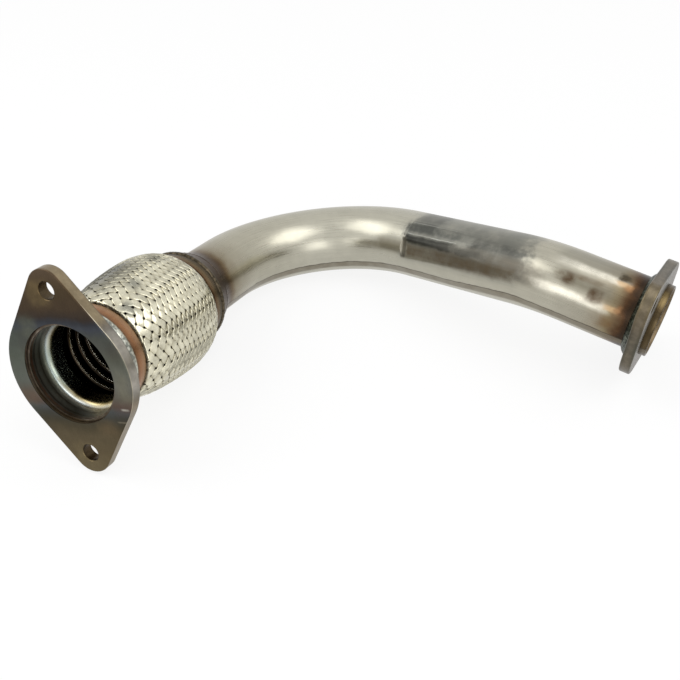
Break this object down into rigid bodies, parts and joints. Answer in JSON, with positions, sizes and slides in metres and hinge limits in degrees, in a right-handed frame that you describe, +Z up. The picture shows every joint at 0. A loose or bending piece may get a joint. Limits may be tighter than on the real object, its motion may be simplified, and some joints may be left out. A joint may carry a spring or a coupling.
{
  "type": "exhaust pipe",
  "caption": "Bent stainless exhaust front pipe with a two-bolt flange at each end and a braided flexible joint behind the inlet flange.",
  "frame": {"origin": "middle of the footprint, on the floor that the pipe lies on", "axes": "+Z up as the pipe lies at rest, +X along the plan of the inlet run from the inlet flange inward, -Y towards the outlet flange"},
  "size_m": [0.2756, 0.3284, 0.1199],
  "materials": {
    "flange_plate": "satin",
    "stub_steel": "satin",
    "sleeve_steel": "polished",
    "ferrule_steel": "satin",
    "bellows_steel": "satin",
    "braid_wire": "polished",
    "collar_steel": "satin",
    "pipe_steel": "satin",
    "weld_metal": "satin"
  },
  "bodies": {
    "root": {"bellows": "bellows_steel", "inlet_backing_ring": "bellows_steel", "inlet_cuff_weld": "weld_metal", "inlet_ferrule": "ferrule_steel", "inlet_flange": "flange_plate", "inlet_flange_weld": "weld_metal", "inlet_sleeve": "sleeve_steel", "inlet_stub": "stub_steel", "main_pipe": "pipe_steel", "outer_braid": "braid_wire", "outlet_backing_ring": "bellows_steel", "outlet_collar": "collar_steel", "outlet_collar_weld": "weld_metal", "outlet_cuff_weld": "weld_metal", "outlet_ferrule": "ferrule_steel", "outlet_flange": "flange_plate", "outlet_flange_weld": "weld_metal"}
  },
  "joints": []
}
